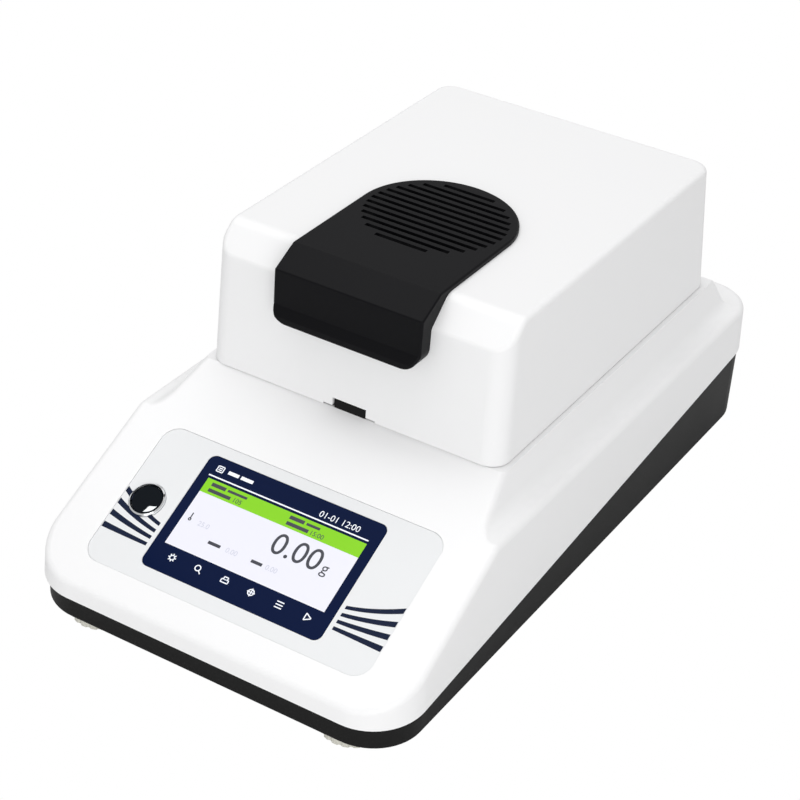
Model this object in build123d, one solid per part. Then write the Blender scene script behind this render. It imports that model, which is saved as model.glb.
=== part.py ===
"""Halogen moisture analyzer: a bench instrument that weighs a sample while it dries it.

Frame: millimetres, +Z up, -Y is the front with the display, origin under the middle on the table.
"""
import os
from math import cos, radians, sin, tan

from build123d import *

# Overall housing
BODY_WIDTH = 205.0
BODY_LENGTH = 378.0
BODY_CORNER_R = 28.0
SIDE_DRAFT = 2.6
WALL = 3.0
FLOOR_GAP = 8.0
EDGE_ROUND = 3.5

# Split between the black tray and the white housing, a plane that climbs to the rear
SPLIT_FRONT_Z = 20.5
SPLIT_ANGLE = 4.6
TRAY_INSET = 2.0
TRAY_WALL = 2.5
TRAY_EDGE_ROUND = 2.0

# Side deck, plinth under the lid, and the sloping front
DECK_Z = 75.0
PLINTH_Z = 91.0
PLINTH_LEDGE = 2.5
PLINTH_REAR_LEDGE = 3.0
FLANK_ANGLE = 22.0
FLANK_ROUND = 4.0
COVE_R = 7.0
SLOPE_ANGLE = 27.6
SLOPE_RUN = 118.2

# Control panel on the slope, measured in the slope's own plane
PANEL_FROM_FRONT = 49.2
LABEL_SIZE = (155.6, 78.4)
LABEL_SHIFT = -1.0
LABEL_R = 9.0
LABEL_T = 0.5
LABEL_SINK = 0.8
GLASS_SIZE = (98.6, 64.2)
GLASS_R = 4.0
GLASS_T = 1.1
GLASS_LEDGE = 3.5
SCREEN_FIT = 0.15
MODULE_SIZE = (105.5, 69.0)
MODULE_T = 5.0
BOARD_T = 1.6
BOARD_GAP = 6.0
STANDOFF_R = 2.5
LEVEL_AT = (-64.7, -2.3)
LEVEL_RING_R = 9.2
LEVEL_RING_RISE = 0.9
LEVEL_VIAL_R = 7.6
LEVEL_DEPTH = 9.0

# Heating lid
LID_SIDE_STEP = 21.2
LID_FROM_REAR = 35.0
LID_OVERHANG = 0.7
LID_TOP_Z = 164.0
LID_SIDE_DRAFT = 1.8
LID_TOP_SETBACK = (1.2, 12.0)
LID_CORNER_R = 10.0
LID_BEVEL = (13.0, 12.5)
LID_EDGE_ROUND = 3.0
LID_CREST_ROUND = 9.0
LID_WALL = 2.8
LID_SEAM = 0.4
LID_CLEAR_CUT = 0.01

# Handle and vent cover on the lid
HANDLE_WIDTH = 80.0
HANDLE_PROUD = 2.5
HANDLE_FRONT_PROUD = 7.5
HANDLE_BEVEL_RUN = 15.0
HANDLE_BEVEL_DROP = 8.0
HANDLE_LIP_Z = 132.5
HANDLE_LIP_H = 8.0
HANDLE_LIP_PROUD = 3.0
HANDLE_LIP_R = 9.0
HANDLE_EDGE_ROUND = 1.0
HANDLE_WALL = 2.5
HANDLE_DEPTH = 30.0
FINGER_POCKET_H = 14.0
VENT_R = 36.0
VENT_SLOTS = 13
VENT_SLOT_W = 2.6

# Weighing chamber
CHAMBER_FROM_SLOPE = 68.8
BOWL_FROM_SIDE = 21.3
BOWL_DEPTH = 15.0
SHEET = 1.2
BOWL_FLANGE = 8.0
SLIP_FIT = 0.3
SHIELD_WALL = 1.5
SHIELD_H = 11.0
PAN_FROM_BOWL = 14.0
PAN_H = 6.5
PAN_SHEET = 0.6
PAN_FLARE = 2.5
HANDLER_RIM = 3.4
HANDLER_GRIP_W = 16.0
SPINDLE_R = 3.0
SPINDLE_FIT = 0.05
WEIGH_TRAVEL = 0.4
ARM_W = 6.0

# Heater inside the lid
LINER_Z = 104.0
LINER_T = 1.6
REFLECTOR_FROM_SIDE = 23.3
REFLECTOR_H = 24.0
GLASS_DISC_STEP = 4.0
GLASS_DISC_T = 3.0
LAMP_RING_STEP = 22.0
LAMP_TUBE_R = 5.0
LAMP_ARC = 330.0
SOCKET_LAP = 2.0
HEAT_SHIELD_RISE = 16.0
HEAT_SLOT_PITCH = 14.0
HEAT_SLOT_W = 4.0
SENSOR_R = 2.5

# Hinge at the back of the lid
HINGE_FROM_LID_REAR = 4.0
HINGE_RISE = 6.0
HINGE_X = 55.0
HINGE_EAR_W = 14.0
HINGE_KNUCKLE_R = 4.2
HINGE_PIN_R = 2.0
HINGE_SIDE_GAP = 0.4
HINGE_ARM_W = 8.0
HINGE_ARM_H = 22.0

# Catch in the front seam
CATCH_WIDTH = 17.6
CATCH_H = 4.6
CATCH_DEPTH = 4.6
CATCH_GAP = 0.5

# Load cell and boards in the tray
CELL_SIZE = (22.0, 110.0, 20.0)
CELL_OVERHANG = 8.0
CELL_BASE_SIZE = (28.0, 10.0)
CELL_WEB_T = 3.0
CELL_WEB_SPAN = 40.0
CELL_SLIT = 3.0
MAIN_BOARD_WIDTH = 134.0
MAIN_BOARD_REAR_GAP = 16.5
BOARD_CLEARANCE = 1.0
BOARD_EDGE = 5.0
BOARD_CHIP = 14.0
POWER_SUPPLY_SIZE = (62.0, 26.0, 24.0)
BOSS_R = 4.0
SCREW_R = 1.6
SCREW_HEAD_R = 3.0
SCREW_HEAD_T = 2.2
AIR_SLOTS = 7
AIR_SLOT_PITCH = 7.0
AIR_SLOT_FROM_REAR = 94.0
AIR_SLOT_SIZE = (24.0, 3.0)
AIR_SLOT_ROW_X = 30.0

# Connector plate in the rear wall
PLATE_SIZE = (146.0, 33.0)
PLATE_T = 1.6
PLATE_Z = 30.0
INLET_X = -50.0
INLET_SIZE = (30.0, 24.0)
INLET_DEPTH = 20.0
INLET_MOUTH = (24.4, 16.4, 17.0)
SWITCH_X = -12.0
SWITCH_SIZE = (15.0, 21.0)
SWITCH_DEPTH = 14.0
ROCKER_TILT = 10.0
SERIAL_X = 40.0
SERIAL_SHELL = (17.0, 8.4)
SERIAL_FLANGE = (31.0, 12.6)
SERIAL_PROUD = 4.5
SERIAL_BACK = 6.0

# Feet
FOOT_X = 70.0
FOOT_INSET = 18.5
FOOT_WHEEL_R = 15.0
FOOT_WHEEL_T = 4.6
FOOT_PAD_R = 11.0
FOOT_PAD_T = 2.4
FOOT_SCREW_R = 3.0
FOOT_SCREW_FIT = 0.05
FOOT_BOSS_R = 8.0
FOOT_BOSS_H = 14.0
FOOT_FLUTES = 18

# Values that follow from the ones above
SLOPE_TAN = tan(radians(SLOPE_ANGLE))
SPLIT_TAN = tan(radians(SPLIT_ANGLE))
HALF_LENGTH = BODY_LENGTH / 2
HALF_WIDTH = BODY_WIDTH / 2
TRAY_HALF_W = HALF_WIDTH - TRAY_INSET
TRAY_HALF_L = HALF_LENGTH - TRAY_INSET
TRAY_FLOOR_Z = FLOOR_GAP + TRAY_WALL
SLOPE_TOP_Y = SLOPE_RUN - HALF_LENGTH
PANEL_CENTRE_Y = PANEL_FROM_FRONT - HALF_LENGTH
LID_WIDTH = BODY_WIDTH - 2 * LID_SIDE_STEP
LID_TOP_WIDTH = LID_WIDTH - 2 * LID_SIDE_DRAFT
LID_REAR_Y = HALF_LENGTH - LID_FROM_REAR
LID_FRONT_Y = SLOPE_TOP_Y - LID_OVERHANG
LID_BOTTOM_Z = PLINTH_Z + LID_SEAM
HINGE_Y = LID_REAR_Y - HINGE_FROM_LID_REAR
HINGE_Z = PLINTH_Z + HINGE_RISE
HANDLE_R = HANDLE_WIDTH / 2
HANDLE_TOP_Z = LID_TOP_Z + HANDLE_PROUD
HANDLE_FRONT_Y = LID_FRONT_Y - HANDLE_FRONT_PROUD
HANDLE_BEVEL_Y = HANDLE_FRONT_Y + HANDLE_BEVEL_RUN
CHAMBER_Y = SLOPE_TOP_Y + CHAMBER_FROM_SLOPE
BOWL_R = LID_WIDTH / 2 - BOWL_FROM_SIDE
PAN_R = BOWL_R - PAN_FROM_BOWL
REFLECTOR_R = LID_WIDTH / 2 - REFLECTOR_FROM_SIDE
GLASS_DISC_R = REFLECTOR_R - GLASS_DISC_STEP
LAMP_RING_R = REFLECTOR_R - LAMP_RING_STEP
BOWL_FLOOR_Z = PLINTH_Z - BOWL_DEPTH
SHIELD_TOP_Z = BOWL_FLOOR_Z + SHEET + SHIELD_H
HANDLER_Z = SHIELD_TOP_Z + WEIGH_TRAVEL + SLIP_FIT
PAN_Z = HANDLER_Z + SHEET + PAN_SHEET - PAN_H
SUPPORT_Z = PAN_Z - 2 * SHEET
GLASS_DISC_Z = LINER_Z + LINER_T
LAMP_Z = GLASS_DISC_Z + GLASS_DISC_T + 2 + LAMP_TUBE_R
SOCKET_Z = GLASS_DISC_Z + REFLECTOR_H - SOCKET_LAP
LAMP_GAP_ANGLE = radians((360 - LAMP_ARC) / 2)
LAMP_END_X = LAMP_RING_R * sin(LAMP_GAP_ANGLE)
LAMP_END_Y = LAMP_RING_R * cos(LAMP_GAP_ANGLE)
CELL_FRONT_Y = CHAMBER_Y - CELL_OVERHANG
CELL_REAR_Y = CELL_FRONT_Y + CELL_SIZE[1]
CELL_Z = TRAY_FLOOR_Z + CELL_BASE_SIZE[1]
MAIN_BOARD_FRONT_Y = CELL_REAR_Y + BOARD_CLEARANCE
CELL_TOP_Z = CELL_Z + CELL_SIZE[2]
PLATE_Y = TRAY_HALF_L - TRAY_WALL
MAIN_BOARD_REAR_Y = PLATE_Y - MAIN_BOARD_REAR_GAP
AIR_SLOT_Y = HALF_LENGTH - AIR_SLOT_FROM_REAR
FOOT_FRONT_Y = -TRAY_HALF_L + FOOT_INSET
FOOT_REAR_Y = TRAY_HALF_L - FOOT_INSET
WHEEL_Z = FOOT_PAD_T + SLIP_FIT


def split_z(y):
    """Height of the split plane at a place along the length."""
    return SPLIT_FRONT_Z + (y + HALF_LENGTH) * SPLIT_TAN


def slope_z(y):
    """Height of the sloping front at a place along the length."""
    return PLINTH_Z + (y - SLOPE_TOP_Y) * SLOPE_TAN


PANEL = Plane(
    origin=(0, PANEL_CENTRE_Y, slope_z(PANEL_CENTRE_Y)),
    x_dir=(1, 0, 0),
    z_dir=(0, -sin(radians(SLOPE_ANGLE)), cos(radians(SLOPE_ANGLE))),
)


def block(x, y, z):
    """Box between two corners, each given as a (low, high) pair per axis."""
    size = (x[1] - x[0], y[1] - y[0], z[1] - z[0])
    middle = ((x[0] + x[1]) / 2, (y[0] + y[1]) / 2, (z[0] + z[1]) / 2)
    return Pos(*middle) * Box(*size)


def rod(x, y, z0, z1, r):
    """Upright cylinder from z0 to z1."""
    return Pos(x, y, (z0 + z1) / 2) * Cylinder(r, z1 - z0)


def tube(x, y, z0, z1, r_out, r_in):
    """Upright tube from z0 to z1."""
    return rod(x, y, z0, z1, r_out) - rod(x, y, z0 - 1, z1 + 1, r_in)


def side_prism(points, half_width):
    """Profile given as (y, z) points, run across the width."""
    face = make_face(Plane.YZ * Polyline(*points, close=True))
    return extrude(face, half_width, both=True)


def mirrored(shape):
    """The shape with its twin on the other side of the middle plane."""
    return shape + mirror(shape, about=Plane.YZ)


def below_split():
    """Everything under the split plane."""
    reach = BODY_LENGTH
    points = [(-reach, -reach), (reach, -reach), (reach, split_z(reach)), (-reach, split_z(-reach))]
    return side_prism(points, reach)


# Housing

def housing_form(inset, rounding):
    """Outer form of the white housing, moved inwards by inset.

    Three outlines meet: the drafted plan, the front view with its coves, and the side view.
    """
    base_spread = SPLIT_FRONT_Z * tan(radians(SIDE_DRAFT))
    plan = RectangleRounded(
        BODY_WIDTH + 2 * base_spread - 2 * inset,
        BODY_LENGTH + 2 * base_spread - 2 * inset,
        BODY_CORNER_R - inset,
    )
    drafted = extrude(plan, PLINTH_Z + WALL, taper=SIDE_DRAFT)

    flank_run = (PLINTH_Z - DECK_Z) * tan(radians(FLANK_ANGLE))
    top_x = LID_WIDTH / 2 + PLINTH_LEDGE
    foot_x = top_x + flank_run
    reach_x = BODY_WIDTH
    front = Polyline(
        (-reach_x, 0), (-reach_x, DECK_Z), (-foot_x, DECK_Z), (-top_x, PLINTH_Z),
        (top_x, PLINTH_Z), (foot_x, DECK_Z), (reach_x, DECK_Z), (reach_x, 0), close=True,
    )
    front_run = extrude(Plane.XZ * coved(make_face(front), inset, HALF_WIDTH), BODY_LENGTH, both=True)

    rear_top_y = LID_REAR_Y + PLINTH_REAR_LEDGE
    rear_foot_y = rear_top_y + flank_run
    reach_y = BODY_LENGTH
    side = Polyline(
        (-reach_y, -reach_y), (-reach_y, slope_z(-reach_y)), (SLOPE_TOP_Y, PLINTH_Z),
        (rear_top_y, PLINTH_Z), (rear_foot_y, DECK_Z), (reach_y, DECK_Z), (reach_y, -reach_y),
        close=True,
    )
    side_run = extrude(Plane.YZ * coved(make_face(side), inset, HALF_LENGTH), BODY_WIDTH, both=True)

    form = drafted & front_run & side_run
    if rounding:
        form = fillet(flank_edges(form), FLANK_ROUND)
        form = fillet(shoulder_edges(form), rounding)
    return form


def coved(outline, inset, half_reach):
    """Outline moved inwards by inset, with the corners where it steps up from the deck made round."""
    if inset:
        outline = offset(outline, -inset, kind=Kind.INTERSECTION)
    at_deck = [v for v in outline.vertices() if abs(v.Y - DECK_Z + inset) < 0.01]
    return fillet([v for v in at_deck if abs(v.X) < half_reach], COVE_R + inset)


def shared_edges(faces, others):
    """Edges of the first faces that also belong to the others."""
    other_edges = [edge for face in others for edge in face.edges()]
    edges = [edge for face in faces for edge in face.edges()]
    return [edge for edge in edges if any(edge.is_same(other) for other in other_edges)]


def shoulder_edges(form):
    """Edges where the drafted walls meet the deck and the sloping front."""
    walls = [face for face in form.faces() if abs(face.normal_at().Z) < 0.1]
    tops = [face for face in form.faces() if face.normal_at().Z > 0.8]
    return shared_edges(walls, tops)


def flank_edges(form):
    """Edges where the sloping front breaks down beside the lid, over the flanks and their coves."""
    slope_lean = sin(radians(SLOPE_ANGLE))
    slopes = [face for face in form.faces() if abs(face.normal_at().Y + slope_lean) < 0.01]
    flanks = [face for face in form.faces() if abs(face.normal_at().X) > 0.5 and 0.1 < face.normal_at().Z]
    return shared_edges(flanks, slopes)


def panel_prism(size, r, z0, z1, shift=0.0):
    """Rounded slab in the panel's plane, from depth z0 to z1."""
    slab = Pos(0, shift, z0) * extrude(RectangleRounded(*size, r), z1 - z0)
    return PANEL * slab


def upper_housing():
    """White shell with the sloping front, the deck and the plinth that carries the lid."""
    outer = housing_form(0, EDGE_ROUND)
    shell = outer - housing_form(WALL, 0) - below_split()

    label_pocket = panel_prism(LABEL_SIZE, LABEL_R, -LABEL_SINK, WALL, LABEL_SHIFT)
    glass_floor = -LABEL_SINK - GLASS_T + LABEL_T
    glass_pocket = panel_prism(grown(GLASS_SIZE, SCREEN_FIT), GLASS_R, glass_floor, WALL)
    screen_hole = panel_prism(grown(GLASS_SIZE, -GLASS_LEDGE), 1.0, -WALL - 1, WALL)
    level_hole = PANEL * Pos(*LEVEL_AT) * Cylinder(LEVEL_VIAL_R + SCREEN_FIT, 4 * WALL)
    shell = shell - label_pocket - glass_pocket - screen_hole - level_hole

    well = rod(0, CHAMBER_Y, PLINTH_Z - 2 * WALL, PLINTH_Z + 1, BOWL_R + SHEET + SLIP_FIT)
    flange_seat = rod(0, CHAMBER_Y, PLINTH_Z - SHEET, PLINTH_Z + 1, BOWL_R + BOWL_FLANGE + SLIP_FIT)
    ear_holes = mirrored(rod(HINGE_X, HINGE_Y, PLINTH_Z - 2 * WALL, PLINTH_Z + 1, SCREW_R))
    shell = shell - well - flange_seat - ear_holes

    bosses = Part()
    for x, y in boss_places():
        top = roof_z(y) - WALL / 2
        bosses += tube(x, y, split_z(y) + BOSS_R * SPLIT_TAN, top, BOSS_R, SCREW_R)
    return shell + bosses


def grown(size, margin):
    """A width and height grown by a margin on every side."""
    return (size[0] + 2 * margin, size[1] + 2 * margin)


def roof_z(y):
    """Height of the slope or the side deck, at a place along the length."""
    return min(slope_z(y), DECK_Z)


def boss_places():
    """Where the four housing screws stand."""
    x = TRAY_HALF_W - 3 * BOSS_R
    return [(sx * x, y) for y in (-HALF_LENGTH / 2, HALF_LENGTH / 2 + 3 * BOSS_R) for sx in (-1, 1)]


# Tray under the housing

def tray_form(inset, z0):
    """Block of the black tray, moved inwards by inset."""
    plan = RectangleRounded(
        2 * (TRAY_HALF_W - inset), 2 * (TRAY_HALF_L - inset), BODY_CORNER_R - TRAY_INSET - inset,
    )
    return Pos(0, 0, z0) * extrude(plan, PLINTH_Z)


def base_tray():
    """Black wedge-shaped tray with feet bosses, screw bosses and air slots."""
    outer = tray_form(0, FLOOR_GAP) & below_split()
    outer = fillet(outer.faces().sort_by(Axis.Z)[0].edges(), TRAY_EDGE_ROUND)
    tray = outer - tray_form(TRAY_WALL, TRAY_FLOOR_Z)

    for x, y in foot_places():
        adjustable = y < 0
        height = FOOT_BOSS_H if adjustable else 2 * TRAY_WALL
        room = split_z(y - FOOT_BOSS_R) - FLOOR_GAP - 1
        tray += rod(x, y, FLOOR_GAP, FLOOR_GAP + min(height, room), FOOT_BOSS_R)
        if adjustable:
            tray -= rod(x, y, 0, PLINTH_Z, FOOT_SCREW_R + FOOT_SCREW_FIT)
    for x, y in boss_places():
        tray += rod(x, y, FLOOR_GAP, split_z(y) - BOSS_R * SPLIT_TAN, BOSS_R)
        tray -= rod(x, y, 0, PLINTH_Z, SCREW_R)
        tray -= rod(x, y, 0, FLOOR_GAP + SCREW_HEAD_T, SCREW_HEAD_R + SLIP_FIT)

    slots = Part()
    for row in (-1, 1):
        for i in range(AIR_SLOTS):
            y = AIR_SLOT_Y + (i - (AIR_SLOTS - 1) / 2) * AIR_SLOT_PITCH
            slots += Pos(row * AIR_SLOT_ROW_X, y, FLOOR_GAP) * Box(*AIR_SLOT_SIZE, 3 * TRAY_WALL)
    window = block(
        (-PLATE_SIZE[0] / 2 + 3, PLATE_SIZE[0] / 2 - 3), (PLATE_Y - 1, TRAY_HALF_L + 1),
        (PLATE_Z - PLATE_SIZE[1] / 2 + 3, PLATE_Z + PLATE_SIZE[1] / 2 - 3),
    )
    return tray - slots - window


def housing_screws():
    """Four screws that clamp the tray to the housing from below."""
    screws = Part()
    for x, y in boss_places():
        tip = split_z(y) + BOSS_R
        head = rod(x, y, FLOOR_GAP + 0.2, FLOOR_GAP + SCREW_HEAD_T, SCREW_HEAD_R)
        screws += head + rod(x, y, FLOOR_GAP + SCREW_HEAD_T, tip, SCREW_R)
    return screws


# Panel pieces

def panel_label():
    """Thin overlay round the screen, with a hole for the level."""
    low = -LABEL_SINK
    film = panel_prism(grown(LABEL_SIZE, -SCREEN_FIT), LABEL_R, low, low + LABEL_T, LABEL_SHIFT)
    film -= panel_prism(grown(GLASS_SIZE, SCREEN_FIT), GLASS_R, low - 1, 1)
    return film - PANEL * Pos(*LEVEL_AT) * Cylinder(LEVEL_RING_R + SCREEN_FIT, 4 * WALL)


def display_glass():
    """Cover glass of the touch screen, flush with the overlay."""
    top = LABEL_T - LABEL_SINK
    return panel_prism(GLASS_SIZE, GLASS_R, top - GLASS_T, top)


def display_module():
    """Liquid crystal module behind the glass."""
    under_glass = LABEL_T - LABEL_SINK - GLASS_T
    ledge = panel_prism(grown(GLASS_SIZE, -GLASS_LEDGE - SCREEN_FIT), 1.0, -WALL, under_glass)
    return panel_prism(MODULE_SIZE, 1.0, -WALL - MODULE_T, -WALL) + ledge


def display_board():
    """Driver board that hangs on four standoffs behind the display module."""
    low = -WALL - MODULE_T - BOARD_GAP
    board = panel_prism(grown(MODULE_SIZE, -4), 1.0, low - BOARD_T, low)
    for x in (-1, 1):
        for y in (-1, 1):
            place = (x * (MODULE_SIZE[0] / 2 - 8), y * (MODULE_SIZE[1] / 2 - 8), low + BOARD_GAP / 2)
            board += PANEL * Pos(*place) * Cylinder(STANDOFF_R, BOARD_GAP)
    return board


def level_bezel():
    """Bright ring round the bubble level."""
    profile = Polyline(
        (LEVEL_VIAL_R + SCREEN_FIT, -LABEL_SINK), (LEVEL_RING_R, -LABEL_SINK),
        (LEVEL_RING_R - 0.3, LEVEL_RING_RISE - 0.5), (LEVEL_RING_R - 1.0, LEVEL_RING_RISE),
        (LEVEL_VIAL_R + 0.5, LEVEL_RING_RISE - 0.3), (LEVEL_VIAL_R + SCREEN_FIT, LEVEL_RING_RISE - 1.2),
        close=True,
    )
    ring = revolve(make_face(Plane.XZ * profile), Axis.Z)
    return PANEL * Pos(*LEVEL_AT) * ring


def level_vial():
    """Closed round cup that holds the bubble."""
    cup = Pos(0, 0, -LEVEL_DEPTH / 2) * Cylinder(LEVEL_VIAL_R, LEVEL_DEPTH)
    cup = fillet(cup.edges().sort_by(Axis.Z)[-1], 0.5)
    return PANEL * Pos(*LEVEL_AT) * cup


def level_clip():
    """Plastic nut that holds the level from behind the housing."""
    ring = Cylinder(LEVEL_RING_R + 1, 3) - Cylinder(LEVEL_VIAL_R + SCREEN_FIT, 4)
    return PANEL * Pos(*LEVEL_AT) * Pos(0, 0, -WALL - 1.5) * ring


# Lid

def lid_form(inset):
    """Outer form of the lid, moved inwards by inset; a drafted hood with a bevelled front edge."""
    front_top = LID_FRONT_Y + LID_TOP_SETBACK[0]
    rear_top = LID_REAR_Y - LID_TOP_SETBACK[1]
    bottom = RectangleRounded(
        LID_WIDTH - 2 * inset, LID_REAR_Y - LID_FRONT_Y - 2 * inset, LID_CORNER_R - inset,
    )
    top = RectangleRounded(
        LID_TOP_WIDTH - 2 * inset, rear_top - front_top - 2 * inset, LID_CORNER_R - inset,
    )
    hood = loft([
        Pos(0, (LID_REAR_Y + LID_FRONT_Y) / 2, LID_BOTTOM_Z) * bottom,
        Pos(0, (rear_top + front_top) / 2, LID_TOP_Z - inset) * top,
    ])
    lean = inset * (1 / cos(radians(45)) - 1)
    bevel_low = (front_top - 20, LID_TOP_Z - LID_BEVEL[1] - inset - lean - 20 * LID_BEVEL[1] / LID_BEVEL[0])
    bevel_high = (front_top + LID_BEVEL[0] + 20, LID_TOP_Z - inset - lean + 20 * LID_BEVEL[1] / LID_BEVEL[0])
    corner = (front_top - 20, bevel_high[1])
    hood -= side_prism([bevel_low, bevel_high, corner], LID_WIDTH)
    return hood


def lid_outer():
    """Lid form with its upper edges rounded, the line above the bevel most of all."""
    hood = lid_form(0)
    crest = hood.faces().sort_by(Axis.Z)[-1].edges().filter_by(Axis.X).sort_by(Axis.Y)[0]
    hood = fillet(crest, LID_CREST_ROUND)
    upper = []
    for edge in hood.edges():
        box = edge.bounding_box()
        crosses_top = box.size.X > HANDLE_WIDTH and LID_FRONT_Y + 2 < box.min.Y < 0
        if box.min.Z > LID_TOP_Z - LID_BEVEL[1] - 1 and not crosses_top:
            upper.append(edge)
    return fillet(upper, LID_EDGE_ROUND)


def lid_inside():
    """Room inside the lid."""
    return Pos(0, 0, -LID_CLEAR_CUT) * lid_form(LID_WALL)


def notch(half_width, height):
    """Opening in the front lower edge of the lid."""
    return block((-half_width, half_width), (LID_FRONT_Y - 5, LID_FRONT_Y + 8),
                 (LID_BOTTOM_Z - 1, LID_BOTTOM_Z + height))


def lid_shell(outer):
    """White hood, hollow, with notches for the catch and the hinges and a vent hole on top."""
    shell = outer - lid_inside()
    shell -= rod(0, CHAMBER_Y, LID_TOP_Z - 2 * LID_WALL, LID_TOP_Z + 1, VENT_R - 4)
    shell -= notch(CATCH_WIDTH / 2 + CATCH_GAP, CATCH_H + CATCH_GAP)
    shell -= notch(CATCH_WIDTH * 0.82, 0.9)
    relief_z = HINGE_Z - HINGE_RISE * 0.6
    shell -= block((-LID_WIDTH, LID_WIDTH), (HINGE_Y + 0.6, LID_REAR_Y + 2), (PLINTH_Z - 1, relief_z))
    half = HINGE_EAR_W / 2 + HINGE_SIDE_GAP + HINGE_ARM_W + HINGE_SIDE_GAP
    for sx in (-1, 1):
        shell -= block((sx * HINGE_X - half, sx * HINGE_X + half), (HINGE_Y - 8, LID_REAR_Y + 2),
                       (PLINTH_Z, HINGE_Z + HINGE_KNUCKLE_R + 1))
    return shell


def handle_cover(outer):
    """Black one-piece handle and vent cover that wraps over the lid's front edge."""
    far_y = CHAMBER_Y + HANDLE_R + 1
    front_y = HANDLE_FRONT_Y
    lip_y = front_y - HANDLE_LIP_PROUD
    low = HANDLE_LIP_Z
    top = HANDLE_TOP_Z
    profile = [
        (far_y, LID_TOP_Z - HANDLE_DEPTH), (far_y, top), (HANDLE_BEVEL_Y, top),
        (front_y, top - HANDLE_BEVEL_DROP),
        (front_y, low + HANDLE_LIP_H), (lip_y, low + HANDLE_LIP_H * 0.45), (lip_y, low),
        (LID_FRONT_Y + 6, low), (LID_FRONT_Y + 6, LID_TOP_Z - HANDLE_DEPTH),
    ]
    form = side_prism(profile, HANDLE_R)
    plan = Circle(HANDLE_R) + Pos(0, -HANDLE_R * 1.5) * Rectangle(HANDLE_WIDTH, HANDLE_R * 3)
    form &= Pos(0, CHAMBER_Y, 0) * extrude(plan, 2 * LID_TOP_Z)
    corners = [(-HANDLE_R, low), (HANDLE_R, low), (HANDLE_R, 2 * top), (-HANDLE_R, 2 * top)]
    front = make_face(Polyline(*corners, close=True))
    front = fillet(front.vertices().sort_by(Axis.Y)[:2], HANDLE_LIP_R)
    form &= extrude(Plane.XZ * front, BODY_LENGTH, both=True)
    form = fillet(handle_edges(form), HANDLE_EDGE_ROUND)
    finger_room = (HANDLE_LIP_Z - 1, HANDLE_LIP_Z + FINGER_POCKET_H)
    form -= block((6 - HANDLE_R, HANDLE_R - 6), (front_y + HANDLE_WALL, LID_FRONT_Y + 8), finger_room)

    for i in range(VENT_SLOTS):
        step = (i - (VENT_SLOTS - 1) / 2) * 2 * (VENT_R - 1.5) / VENT_SLOTS
        half = (VENT_R ** 2 - (abs(step) + VENT_SLOT_W / 2) ** 2) ** 0.5
        y = CHAMBER_Y + step
        form -= block((-half, half), (y - VENT_SLOT_W / 2, y + VENT_SLOT_W / 2),
                      (LID_TOP_Z - 1, HANDLE_TOP_Z + 1))
    return form - outer


def handle_edges(form):
    """Outline edges of the handle: its top, its bevel, and everything in front of the lid."""
    found = []
    for edge in form.edges():
        box = edge.bounding_box()
        on_top = box.min.Z > HANDLE_TOP_Z - 0.01
        beside_bevel = box.size.X < 0.01 and abs(box.max.Y - HANDLE_BEVEL_Y) < 0.01
        if on_top or beside_bevel or box.max.Y < LID_FRONT_Y + 1:
            found.append(edge)
    return found


def lid_liner():
    """Sheet metal floor of the lid with a folded rim and a hole for the heater."""
    rear_cut = HINGE_Y - HINGE_KNUCKLE_R - 6
    layer = block((-LID_WIDTH, LID_WIDTH), (LID_FRONT_Y, rear_cut), (LINER_Z, LINER_Z + LINER_T))
    liner = lid_form(LID_WALL + SLIP_FIT) & layer
    return liner - rod(0, CHAMBER_Y, 0, LID_TOP_Z, GLASS_DISC_R - 4)


def reflector():
    """Spun dish that throws the lamp's heat down."""
    z0 = GLASS_DISC_Z
    top = z0 + REFLECTOR_H
    crown_r = REFLECTOR_R * 0.62
    waist_r, waist_z = REFLECTOR_R * 0.92, z0 + REFLECTOR_H * 0.6
    rim_r = REFLECTOR_R + 6
    section = Polyline(
        (0, top), (crown_r, top), (waist_r, waist_z), (REFLECTOR_R, z0 + GLASS_DISC_T), (REFLECTOR_R, z0),
        (rim_r, z0), (rim_r, z0 + SHEET), (REFLECTOR_R + SHEET, z0 + SHEET),
        (REFLECTOR_R + SHEET, z0 + GLASS_DISC_T), (waist_r + SHEET, waist_z + SHEET / 2),
        (crown_r + SHEET / 2, top + SHEET), (0, top + SHEET), close=True,
    )
    dish = revolve(make_face(Plane.XZ * section), Axis.Z)
    for sx in (-1, 1):
        dish -= rod(sx * LAMP_END_X, -LAMP_END_Y, z0 + 4, top + 4, LAMP_TUBE_R + 1.5)
    dish -= rod(0, 0, z0, top + 4, SENSOR_R + SLIP_FIT)
    return Pos(0, CHAMBER_Y, 0) * dish


def halogen_lamp():
    """Ring lamp, open at the front, with its two ends turned up."""
    start = 270 + (360 - LAMP_ARC) / 2
    path = CenterArc((0, 0), LAMP_RING_R, start, LAMP_ARC)
    section = Plane(origin=path @ 0, z_dir=path % 0) * Circle(LAMP_TUBE_R)
    ring = Pos(0, 0, LAMP_Z) * sweep(section, path)
    top = SOCKET_Z
    for sx in (-1, 1):
        ring += rod(sx * LAMP_END_X, -LAMP_END_Y, LAMP_Z, top, LAMP_TUBE_R)
        ring += Pos(sx * LAMP_END_X, -LAMP_END_Y, LAMP_Z) * Sphere(LAMP_TUBE_R)
    return Pos(0, CHAMBER_Y, 0) * ring


def lamp_sockets():
    """Two ceramic holders that grip the lamp's ends above the reflector."""
    z0 = SOCKET_Z
    sockets = Part()
    for sx in (-1, 1):
        x = sx * LAMP_END_X
        y = CHAMBER_Y - LAMP_END_Y
        body = rod(x, y, z0, z0 + 12, LAMP_TUBE_R + 1)
        flange = block((x - 7.5, x + 7.5), (y - 9, y + 9), (z0 + SOCKET_LAP + SHEET, z0 + 8))
        sockets += body + flange
    return sockets


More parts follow.
